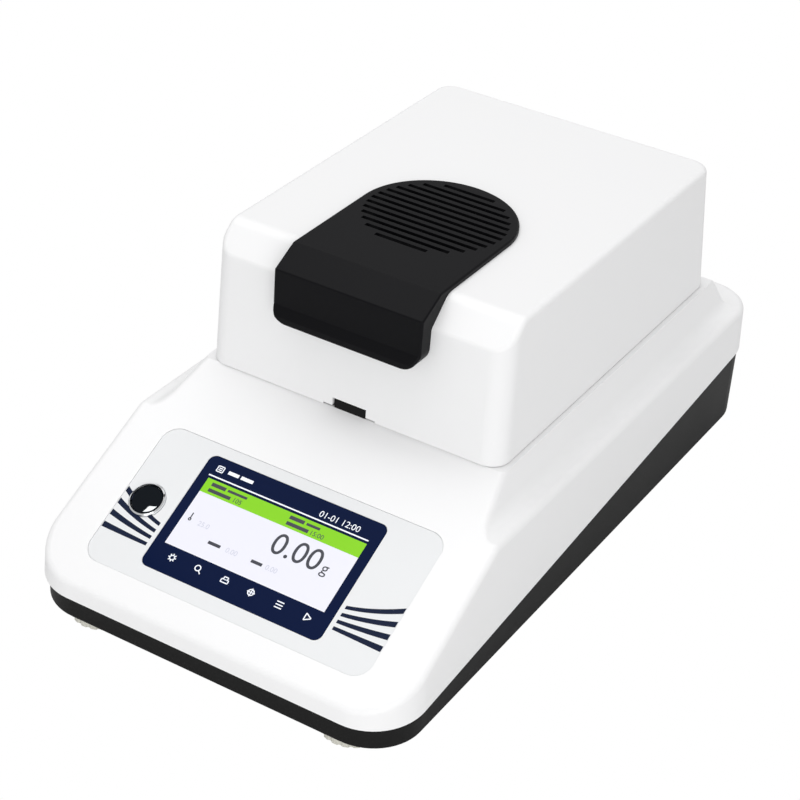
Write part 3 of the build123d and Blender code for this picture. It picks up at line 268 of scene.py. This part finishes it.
undressed = set(nodes) - {name for names in dressing.values() for name in names}
print("undressed solids:", sorted(undressed))

# %% [markdown]
# ## Surfaces from grids
# Print, screws and wires are thin or small, so they are added here as meshes. Each is a grid of
# points, where rows follow one parameter and columns the other, and a grid may close on itself. The
# whole grid is worked out as one array, which keeps a shape as short as its formula.

# %% Grid pieces
def weave(rows, columns, wrap_columns=False):
    """Quads of a grid whose points are numbered row by row; they face along columns x rows."""
    r = np.arange(rows - 1)[:, None]
    c = np.arange(columns if wrap_columns else columns - 1)[None, :]
    here = r * columns + c
    right = r * columns + (c + 1) % columns
    return np.stack([here, right, right + columns, here + columns], -1).reshape(-1, 4)


def raise_mesh(name, points_mm, faces, key, body, smooth=False):
    """Mesh object from points in millimetres, dressed and riding on a body."""
    mesh = bpy.data.meshes.new(name)
    mesh.from_pydata((points_mm / MM_PER_M).tolist(), [], faces)
    mesh.polygons.foreach_set("use_smooth", [smooth] * len(mesh.polygons))
    mesh.materials.append(surface[key])
    piece = bpy.data.objects.new(name, mesh)
    bpy.context.scene.collection.objects.link(piece)
    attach(piece, body)


def raise_grids(name, grids, key, body, smooth=False, wrap_columns=False):
    """One piece made of several grids of points."""
    points = np.concatenate([grid.reshape(-1, 3) for grid in grids])
    first_of_grid = np.cumsum([0] + [grid.shape[0] * grid.shape[1] for grid in grids[:-1]])
    faces = [weave(*grid.shape[:2], wrap_columns) + first for grid, first in zip(grids, first_of_grid)]
    raise_mesh(name, points, np.concatenate(faces).tolist(), key, body, smooth)


# %% [markdown]
# ## The panel's own coordinates
# The label and the screen lie on the slope, and print is easier to set out on a flat sheet. On that
# sheet x runs to the right, w up the slope and h out of it, in millimetres. A point is
# P = O + x X + w W + h N, with W = (0, cos a, sin a) and N = (0, -sin a, cos a) for a slope angle a.
# Each ink layer stands a few hundredths of a millimetre above the last, so that none of them flicker.

# %% Panel coordinates
SLOPE = radians(27.6)
SLOPE_TOP_Y = -70.8
SLOPE_TOP_Z = 91.0
PANEL_MIDDLE_Y = -139.8
PANEL_O = np.array([0.0, PANEL_MIDDLE_Y, SLOPE_TOP_Z - (SLOPE_TOP_Y - PANEL_MIDDLE_Y) * tan(SLOPE)])
PANEL_X = np.array([1.0, 0.0, 0.0])
PANEL_W = np.array([0.0, cos(SLOPE), sin(SLOPE)])
PANEL_N = np.array([0.0, -sin(SLOPE), cos(SLOPE)])
FILM_H = -0.3
INK_STEP = 0.03
PRINT_LAYER = 1
SIGN_LAYER = 2


def on_panel(x, w, layer):
    """Points for places on the panel, some ink layers above the film: P = O + x X + w W + h N."""
    x, w = np.broadcast_arrays(np.asarray(x, float), np.asarray(w, float))
    h = FILM_H + INK_STEP * layer
    return PANEL_O + x[..., None] * PANEL_X + w[..., None] * PANEL_W + h * PANEL_N


def patch(x0, x1, w0, w1, layer=PRINT_LAYER):
    """Flat rectangle in the panel, from (x0, w0) to (x1, w1)."""
    return on_panel(np.array([[x0, x1]]), np.array([[w0], [w1]]), layer)


print("panel origin:", PANEL_O.round(2), "mm")

# %% [markdown]
# ## Stripes
# Four dark stripes fan out from each side of the screen and widen on their way. They could be drawn
# in a curve editor, but one formula serves all eight: the width grows evenly, and the middle line
# climbs by w = w0 + dw ((1 - b) t + b t^2), where b says how much of the climb comes late.

# %% Stripes
STRIPE_START_WIDTH = 1.8
STRIPE_END_WIDTH = 3.0
STRIPE_BEND = 0.45
LEFT_REACH = (-51.6, -77.4)
LEFT_START_W = (-11.0, -14.9, -18.6, -22.4)
LEFT_END_W = (-0.8, -7.8, -14.5, -21.6)
RIGHT_REACH = (51.6, 77.2)
RIGHT_START_W = (-11.8, -15.7, -19.4, -23.0)
RIGHT_END_W = (-2.3, -9.7, -16.6, -23.0)


def stripe(reach, w_start, w_end):
    """One stripe: P(t, s) = (x(t), w(t) + s width(t)), s from 1/2 to -1/2, t along increasing x."""
    x_start, x_end = reach
    t = np.linspace(0, 1, 25) if x_end > x_start else np.linspace(1, 0, 25)
    x = x_start + (x_end - x_start) * t
    w = w_start + (w_end - w_start) * ((1 - STRIPE_BEND) * t + STRIPE_BEND * t * t)
    half = (STRIPE_START_WIDTH + (STRIPE_END_WIDTH - STRIPE_START_WIDTH) * t) / 2
    return on_panel(x[:, None], np.stack([w + half, w - half], 1), PRINT_LAYER)


stripes = [stripe(LEFT_REACH, a, b) for a, b in zip(LEFT_START_W, LEFT_END_W)]
stripes += [stripe(RIGHT_REACH, a, b) for a, b in zip(RIGHT_START_W, RIGHT_END_W)]
raise_grids("panel_stripes", stripes, "stripe", "base")
print("stripes:", len(stripes))

# %% [markdown]
# ## What the screen shows
# The screen holds a white page under a green band, with a weight in large figures. The figures are
# ordinary numbers and short bars stand for small words, so nothing is copied. A real screen is one
# image, but flat shapes need no image file and stay sharp at any distance.

# %% Screen page
PAGE_X = (-44.0, 44.0)
PAGE_LOW_W = -18.0
BAND_LOW_W = 12.3
BAND_TOP_W = 20.1
LINE_X = (-44.8, 43.8)
LINE_W = (21.4, 22.1)

raise_grids("screen_page", [patch(*PAGE_X, PAGE_LOW_W, BAND_LOW_W)], "page", "base")
raise_grids("screen_band", [patch(*PAGE_X, BAND_LOW_W, BAND_TOP_W)], "band", "base")
raise_grids("screen_line", [patch(*LINE_X, *LINE_W)], "white_ink", "base")
print("page:", PAGE_X[1] - PAGE_X[0], "by", round(BAND_LOW_W - PAGE_LOW_W, 1), "mm")

# %% Screen figures
WEIGHT_X = 3.4
WEIGHT_TALL = 11.0
UNIT_TALL = 5.6
CLOCK_TALL = 3.2
SETTING_TALL = 2.4
READING_TALL = 2.6


def figures(name, words, x, w, tall, key):
    """Figures set flat on the panel: a font outline, scaled to a height, from its lower left corner."""
    font = bpy.data.curves.new(name, "FONT")
    font.body = words
    writer = bpy.data.objects.new(name + "_curve", font)
    bpy.context.scene.collection.objects.link(writer)
    bpy.context.view_layer.update()
    flat = bpy.data.meshes.new_from_object(writer.evaluated_get(bpy.context.evaluated_depsgraph_get()))
    bpy.data.objects.remove(writer)
    local = np.array([v.co[:2] for v in flat.vertices], float)
    local = (local - local.min(0)) * (tall / np.ptp(local[:, 1]))
    faces = [list(p.vertices) for p in flat.polygons]
    raise_mesh(name, on_panel(x + local[:, 0], w + local[:, 1], SIGN_LAYER), faces, key, "base")
    return x + local[:, 0].max()


weight_end = figures("screen_weight", "0.00", WEIGHT_X, -2.0, WEIGHT_TALL, "black_ink")
figures("screen_unit", "g", 31.2, -3.2, UNIT_TALL, "black_ink")
figures("screen_clock", "01-01 12:00", 15.5, 23.6, CLOCK_TALL, "white_ink")
figures("screen_setting_a", "105", -26.0, 13.4, SETTING_TALL, "black_ink")
figures("screen_setting_b", "15:00", 17.0, 13.4, SETTING_TALL, "black_ink")
figures("screen_reading_a", "25.0", -35.0, -4.0, READING_TALL, "grey_ink")
figures("screen_reading_b", "0.00", -15.0, -10.6, READING_TALL, "grey_ink")
figures("screen_reading_c", "0.00", 7.0, -10.6, READING_TALL, "grey_ink")
print("weight figures reach x =", round(weight_end, 1), "mm")

# %% [markdown]
# ## Screen signs
# Six plain signs about 4 mm across stand in a row at the bottom. Each is a few strokes of one
# width, so a sign is a list of paths round its own middle, and a ribbon gives every path its width.

# %% Strokes
SIGN_STROKE = 0.55


def line(start, end):
    """Straight path: P(t) = start + t (end - start), in three points."""
    start, end = np.array(start, float), np.array(end, float)
    return start + (end - start) * np.linspace(0, 1, 3)[:, None]


def circle(r, x=0.0, w=0.0):
    """Round path: P(a) = (x, w) + r (cos a, sin a)."""
    a = np.linspace(0, 2 * pi, 25)
    return np.stack([x + r * np.cos(a), w + r * np.sin(a)], 1)


def loop(*corners):
    """Closed outline as one straight path per side."""
    return [line(a, b) for a, b in zip(corners, corners[1:] + corners[:1])]


def box(x0, x1, w0, w1):
    """Rectangle as four straight paths."""
    return loop((x0, w0), (x1, w0), (x1, w1), (x0, w1))


def ribbon(path):
    """Flat strip along a path: P(t, s) = path(t) + s stroke n(t), s from 1/2 to -1/2."""
    along = np.gradient(path, axis=0)
    along /= np.linalg.norm(along, axis=1, keepdims=True)
    across = np.stack([-along[:, 1], along[:, 0]], -1) * SIGN_STROKE / 2
    sides = np.stack([path + across, path - across], 1)
    return on_panel(sides[..., 0], sides[..., 1], SIGN_LAYER)


# %% Row of signs
SIGN_ROW_W = -23.4
SIGN_X = (-36.2, -21.5, -6.7, 7.8, 23.2, 38.4)
CORNER_SIGN_AT = (-41.0, 26.3)
TITLE_W = (25.4, 27.2)
TITLE_BARS_X = [(-36.5, -30.5), (-29.3, -22.5)]

signs = {
    "wheel": [circle(1.2)] + [line((1.1 * cos(a), 1.1 * sin(a)), (2.1 * cos(a), 2.1 * sin(a)))
                              for a in np.linspace(0, 2 * pi, 8, endpoint=False)],
    "lens": [circle(1.4, -0.4, 0.4), line((0.6, -0.6), (2.0, -2.0))],
    "sheet": box(-1.9, 1.9, -1.0, 0.6) + box(-1.1, 1.1, 0.6, 1.9),
    "cross": [circle(1.5), line((-2.1, 0), (2.1, 0)), line((0, -2.1), (0, 2.1))],
    "rows": [line((-1.9, w), (1.9, w)) for w in (-1.5, 0, 1.5)],
    "arrow": loop((-1.3, -1.8), (1.9, 0), (-1.3, 1.8)),
}
corner_sign = box(-1.7, 1.7, -1.5, 1.5) + [line((-1.0, w), (1.0, w)) for w in (-0.5, 0.5)]

strokes = [ribbon(path + (x, SIGN_ROW_W)) for paths, x in zip(signs.values(), SIGN_X) for path in paths]
strokes += [ribbon(path + CORNER_SIGN_AT) for path in corner_sign]
strokes += [patch(*bar, *TITLE_W, SIGN_LAYER) for bar in TITLE_BARS_X]
raise_grids("screen_signs", strokes, "white_ink", "base")
print("sign strokes:", len(strokes))

# %% Word bars
BOLD_ROW_W = (16.8, 18.7)
THIN_ROW_W = (17.1, 18.4)
LOW_ROW_W = (13.6, 15.4)
READING_ROW_W = (-10.2, -8.6)
word_bars = [
    (-40.5, -32.5, *BOLD_ROW_W), (-31.3, -20.5, *THIN_ROW_W), (-40.5, -28.0, *LOW_ROW_W),
    (3.5, 11.5, *BOLD_ROW_W), (12.7, 20.0, *THIN_ROW_W), (3.5, 15.5, *LOW_ROW_W),
    (-25.0, -18.2, *READING_ROW_W), (-1.0, 5.0, *READING_ROW_W),
]
THERMOMETER_BULB = circle(0.6, -40.0, -2.6)
THERMOMETER_STEM = (-40.3, -39.7, -2.4, 1.0)

marks = [patch(*bar, SIGN_LAYER) for bar in word_bars + [THERMOMETER_STEM]] + [ribbon(THERMOMETER_BULB)]
raise_grids("screen_marks", marks, "black_ink", "base")
print("dark marks:", len(marks))

# %% [markdown]
# ## Bubble level
# The cup and its bright ring are CAD. What tells the eye that there is glass over the cup is one
# small crescent of light at the lower right. A lamp could be placed to cast it, but a thin shape
# stays put from every side. Its outer edge is a circle, and its inner edge dips away from that
# circle as a half sine wave: r(u, s) = R - s D sin(pi u).

# %% Level gleam
LEVEL_X = -64.7
LEVEL_W = -2.3
LEVEL_LAYER = 11
GLEAM_R = 6.6
GLEAM_WIDTH = 2.6
GLEAM_FROM, GLEAM_TO = radians(285), radians(350)

u = np.linspace(0, 1, 40)[:, None]
inwards = np.array([[1.0, 0.0]])
gleam_a = GLEAM_FROM + (GLEAM_TO - GLEAM_FROM) * u
gleam_r = GLEAM_R - GLEAM_WIDTH * inwards * np.sin(pi * u)
gleam = on_panel(LEVEL_X + gleam_r * np.cos(gleam_a), LEVEL_W + gleam_r * np.sin(gleam_a), LEVEL_LAYER)
raise_grids("level_gleam", [gleam], "gleam", "base")
print("gleam width:", GLEAM_WIDTH, "mm")

# %% [markdown]
# ## The back
# The connector plate is held by four screws. The data socket has a dark insert with nine gold
# contacts and two six-sided jack screws. Turned parts are profiles carried round an axis that
# points backwards, which is how a lathe makes them. Here x runs to the right, z up, and y is the
# distance behind the plate, in millimetres.

# %% Rear shapes
PLATE_Y = 184.5
PLATE_MIDDLE_Z = 30.0


def lathe(x, z, outline, sides):
    """Turned piece that points backwards: P(i, a) = (x + r_i cos a, y_i, z - r_i sin a)."""
    a = np.linspace(0, 2 * pi, sides, endpoint=False)
    r, y = (column[:, None] for column in np.array(outline, float).T)
    return np.stack([x + r * np.cos(a), PLATE_Y + y + 0 * a, z - r * np.sin(a)], -1)


def facing_back(x, z, y, low_half, top_half, tall):
    """Flat four-sided face seen from behind, with half widths below and above and a height."""
    half = np.array([[low_half], [top_half]])
    across = np.array([[1.0, -1.0]])
    up = np.array([[-tall / 2], [tall / 2]])
    return np.stack([x + half * across, PLATE_Y + y + 0 * half * across, z + up + 0 * across], -1)


# %% Plate screws
SCREW_X = (-27.0, 64.0)
SCREW_FROM_MIDDLE_Z = 9.5
SCREW_HEAD = [(2.3, 0.0), (2.3, 0.5), (1.9, 1.0), (1.0, 1.25), (0.001, 1.3)]
CROSS_SHADE_Y = 1.36
CROSS_SHADE_LONG = 2.4
CROSS_SHADE_WIDE = 0.5

screws_at = [(x, PLATE_MIDDLE_Z + dz) for x in SCREW_X for dz in (-SCREW_FROM_MIDDLE_Z, SCREW_FROM_MIDDLE_Z)]
heads = [lathe(x, z, SCREW_HEAD, 24) for x, z in screws_at]
raise_grids("plate_screws", heads, "steel_z", "base", smooth=True, wrap_columns=True)
# The cross recess in each head is not cut. A flat dull black cross lies just above the head as painted shade
# for the hollow.
cross = [facing_back(x, z, CROSS_SHADE_Y, wide / 2, wide / 2, tall) for x, z in screws_at
         for wide, tall in ((CROSS_SHADE_LONG, CROSS_SHADE_WIDE), (CROSS_SHADE_WIDE, CROSS_SHADE_LONG))]
raise_grids("screw_cross_shade", cross, "dark", "base")
print("plate screws:", len(screws_at))

# %% Data socket
SOCKET_X = 40.0
JACK_FROM_SOCKET = 12.4
JACK_OUTLINE = [(2.6, 0.8), (2.6, 4.2), (1.5, 4.2), (1.4, 2.0), (0.001, 2.0)]
INSERT_Y = 4.52
INSERT_LOW_HALF = 6.7
INSERT_TOP_HALF = 7.6
INSERT_TALL = 6.8
CONTACT_PITCH = 2.77
CONTACT_ROWS = ((5, 1.42), (4, -1.42))
CONTACT_OUTLINE = [(0.75, 4.52), (0.75, 4.6), (0.4, 4.6), (0.35, 4.52)]

jacks = [lathe(SOCKET_X + side * JACK_FROM_SOCKET, PLATE_MIDDLE_Z, JACK_OUTLINE, 6) for side in (-1, 1)]
raise_grids("jack_screws", jacks, "steel_x", "base", wrap_columns=True)
insert = facing_back(SOCKET_X, PLATE_MIDDLE_Z, INSERT_Y, INSERT_LOW_HALF, INSERT_TOP_HALF, INSERT_TALL)
raise_grids("socket_insert", [insert], "dark", "base")
contacts = [lathe(SOCKET_X + (i - (count - 1) / 2) * CONTACT_PITCH, PLATE_MIDDLE_Z + dz, CONTACT_OUTLINE, 12)
            for count, dz in CONTACT_ROWS for i in range(count)]
raise_grids("socket_contacts", contacts, "gold", "base", wrap_columns=True)
print("contacts:", len(contacts))

# %% [markdown]
# ## Switch marks
# The rocker's face is a shallow hollow, and a line and a circle on it say on and off. Flat marks
# would sink into the hollow, so each point is laid on the same cylinder as the face,
# y = dip + R - sqrt(R^2 - z^2), and turned with it about X. The marks ride on the rocker's body.

# %% Switch marks
ROCKER_X = -12.0
ROCKER_AXIS_Y = 182.5
ROCKER_LEAN = radians(10.0)
ROCKER_HOLLOW_R = 19.2
ROCKER_DIP = 1.6
MARK_RISE = 0.06
BAR_HALF_WIDTH = 0.35
BAR_Z = (2.9, 5.6)
CIRCLE_Z = -4.2
CIRCLE_RADII = (1.0, 1.5)


def on_rocker(x, z):
    """Points on the hollow face at rest: y = dip + R - sqrt(R^2 - z^2), then turned about X by the lean."""
    x, z = np.broadcast_arrays(np.asarray(x, float), np.asarray(z, float))
    y = ROCKER_DIP + ROCKER_HOLLOW_R - np.sqrt(ROCKER_HOLLOW_R ** 2 - z ** 2) + MARK_RISE
    turned_y = y * cos(ROCKER_LEAN) - z * sin(ROCKER_LEAN)
    turned_z = y * sin(ROCKER_LEAN) + z * cos(ROCKER_LEAN)
    return np.stack([ROCKER_X + x, ROCKER_AXIS_Y + turned_y, PLATE_MIDDLE_Z + turned_z], -1)


bar = on_rocker(np.array([[BAR_HALF_WIDTH, -BAR_HALF_WIDTH]]), np.linspace(*BAR_Z, 5)[:, None])
around = np.linspace(0, 2 * pi, 33)[:, None]
radii = np.array([CIRCLE_RADII])
round_mark = on_rocker(-radii * np.cos(around), CIRCLE_Z + radii * np.sin(around))
raise_grids("switch_bar", [bar], "grey_ink", "rocker")
raise_grids("switch_circle", [round_mark], "grey_ink", "rocker")
print("switch bar:", round(BAR_Z[1] - BAR_Z[0], 1), "mm long, circle:", 2 * CIRCLE_RADII[1], "mm wide")

# %% [markdown]
# ## Inside the lamp
# The quartz ring holds a coiled wire with a gap at the front, where the ends of the lamp turn up.
# A screw modifier can make a coil but can't bend it into a ring without a second curve, so the wire
# is a formula: P(u) goes round the lamp once while its own small circle goes round many times.

# %% Lamp coil
COIL_TURNS = 90
COIL_POINTS_PER_TURN = 10
COIL_R = 1.4
WIRE_R = 0.25
WIRE_SIDES = 5
LAMP_CENTRE = np.array([0.0, -2.0, 115.6])
LAMP_R = 36.0
LAMP_FROM = radians(285.0)
LAMP_ARC = radians(330.0)

u = np.linspace(0, 1, COIL_TURNS * COIL_POINTS_PER_TURN)
round_lamp = LAMP_FROM + LAMP_ARC * u
twist = 2 * pi * COIL_TURNS * u
r = LAMP_R + COIL_R * np.cos(twist)
centre = LAMP_CENTRE + np.stack([r * np.cos(round_lamp), r * np.sin(round_lamp), COIL_R * np.sin(twist)], -1)
print("points on the coil's middle line:", len(centre))

# %% [markdown]
# The wire's round section needs two directions across it at every point. The first lies flat and
# the second completes the right angle: P(u, a) = centre + R (cos a side - sin a upper).

# %% Lamp wire
ahead = np.gradient(centre, axis=0)
ahead /= np.linalg.norm(ahead, axis=1, keepdims=True)
side = np.cross(ahead, (0.0, 0.0, 1.0))
side /= np.linalg.norm(side, axis=1, keepdims=True)
upper = np.cross(side, ahead)
a = np.linspace(0, 2 * pi, WIRE_SIDES, endpoint=False)[None, :, None]
wire = centre[:, None] + WIRE_R * (np.cos(a) * side[:, None] - np.sin(a) * upper[:, None])
raise_grids("lamp_coil", [wire], "steel_z", "lid", smooth=True, wrap_columns=True)
print("coil turns:", COIL_TURNS)

# %% [markdown]
# ## Stage and light
# A catalogue picture stands on white paper. Painting that white with light would bleach the object,
# so the floor and the sky are plain white to the camera alone, and light the object at their own
# lower strength. The floor still takes part in the light between the feet and the tray.

# %% Sky and floor
SKY_LIGHT = 0.55
PAPER_WHITE = 1.0
FLOOR_HALF_M = 3.0

world = bpy.data.worlds.new("studio")
bpy.context.scene.world = world
world.use_nodes = True
sky = world.node_tree
seen = Socket(sky, add_node(sky, "ShaderNodeLightPath").outputs["Is Camera Ray"])
strength = add_node(sky, "ShaderNodeMix", {"data_type": "FLOAT"},
                    {"Factor": seen, "A": SKY_LIGHT, "B": PAPER_WHITE})
background = sky.nodes["Background"]
background.inputs["Color"].default_value = (1, 1, 1, 1)
sky.links.new(strength.outputs["Result"], background.inputs["Strength"])

floor_paint = bpy.data.materials.new("floor_paint")
floor_paint.use_nodes = True
tree = floor_paint.node_tree
paint = tree.nodes["Principled BSDF"]
paint.inputs["Base Color"].default_value = (0.8, 0.8, 0.8, 1)
paint.inputs["Roughness"].default_value = 0.9
glow = add_node(tree, "ShaderNodeEmission", sockets={"Color": (1, 1, 1, 1), "Strength": PAPER_WHITE})
seen = Socket(tree, add_node(tree, "ShaderNodeLightPath").outputs["Is Camera Ray"])
blend = add_node(tree, "ShaderNodeMixShader",
                 sockets={"Fac": seen, 1: Socket(tree, paint.outputs[0]), 2: Socket(tree, glow.outputs[0])})
tree.links.new(blend.outputs[0], tree.nodes["Material Output"].inputs["Surface"])

span = (-FLOOR_HALF_M, FLOOR_HALF_M)
floor_mesh = bpy.data.meshes.new("floor")
floor_mesh.from_pydata([(x, y, 0.0) for y in span for x in span], [], [(0, 1, 3, 2)])
floor_mesh.materials.append(floor_paint)
floor = bpy.data.objects.new("floor", floor_mesh)
bpy.context.scene.collection.objects.link(floor)
print("floor:", 2 * FLOOR_HALF_M, "m wide")

# %% [markdown]
# ## Lamps
# Broad soft lamps make the top brightest, then the front, then the right side, and leave no hard
# shadow. Each lamp is a square panel that is turned until it faces the middle of the instrument.

# %% Lamps
LIT_MIDDLE = np.array([0.0, 0.0, 0.08])
lamps = {
    "top_soft": {"place": (-0.2, 0.1, 1.5), "size": 1.4, "watts": 11.5},
    "right_soft": {"place": (1.0, -1.3, 0.5), "size": 1.0, "watts": 8.0},
    "low_front": {"place": (0.3, -1.6, 0.4), "size": 0.8, "watts": 2.0},
}


def hang_lamp(name, place, size, watts):
    """Square soft lamp at a place in metres, facing the middle of the instrument."""
    data = bpy.data.lights.new(name, "AREA")
    data.size = size
    data.energy = watts
    away = np.array(place) - LIT_MIDDLE
    away /= np.linalg.norm(away)
    round_z = Matrix.Rotation(atan2(away[0], -away[1]), 4, "Z")
    down_x = Matrix.Rotation(np.arccos(away[2]), 4, "X")
    hung = bpy.data.objects.new(name, data)
    hung.matrix_world = Matrix.Translation(place) @ round_z @ down_x
    bpy.context.scene.collection.objects.link(hung)


for name, lamp in lamps.items():
    hang_lamp(name, **lamp)
bpy.context.scene.view_settings.view_transform = "Standard"
print("lamps:", len(lamps))
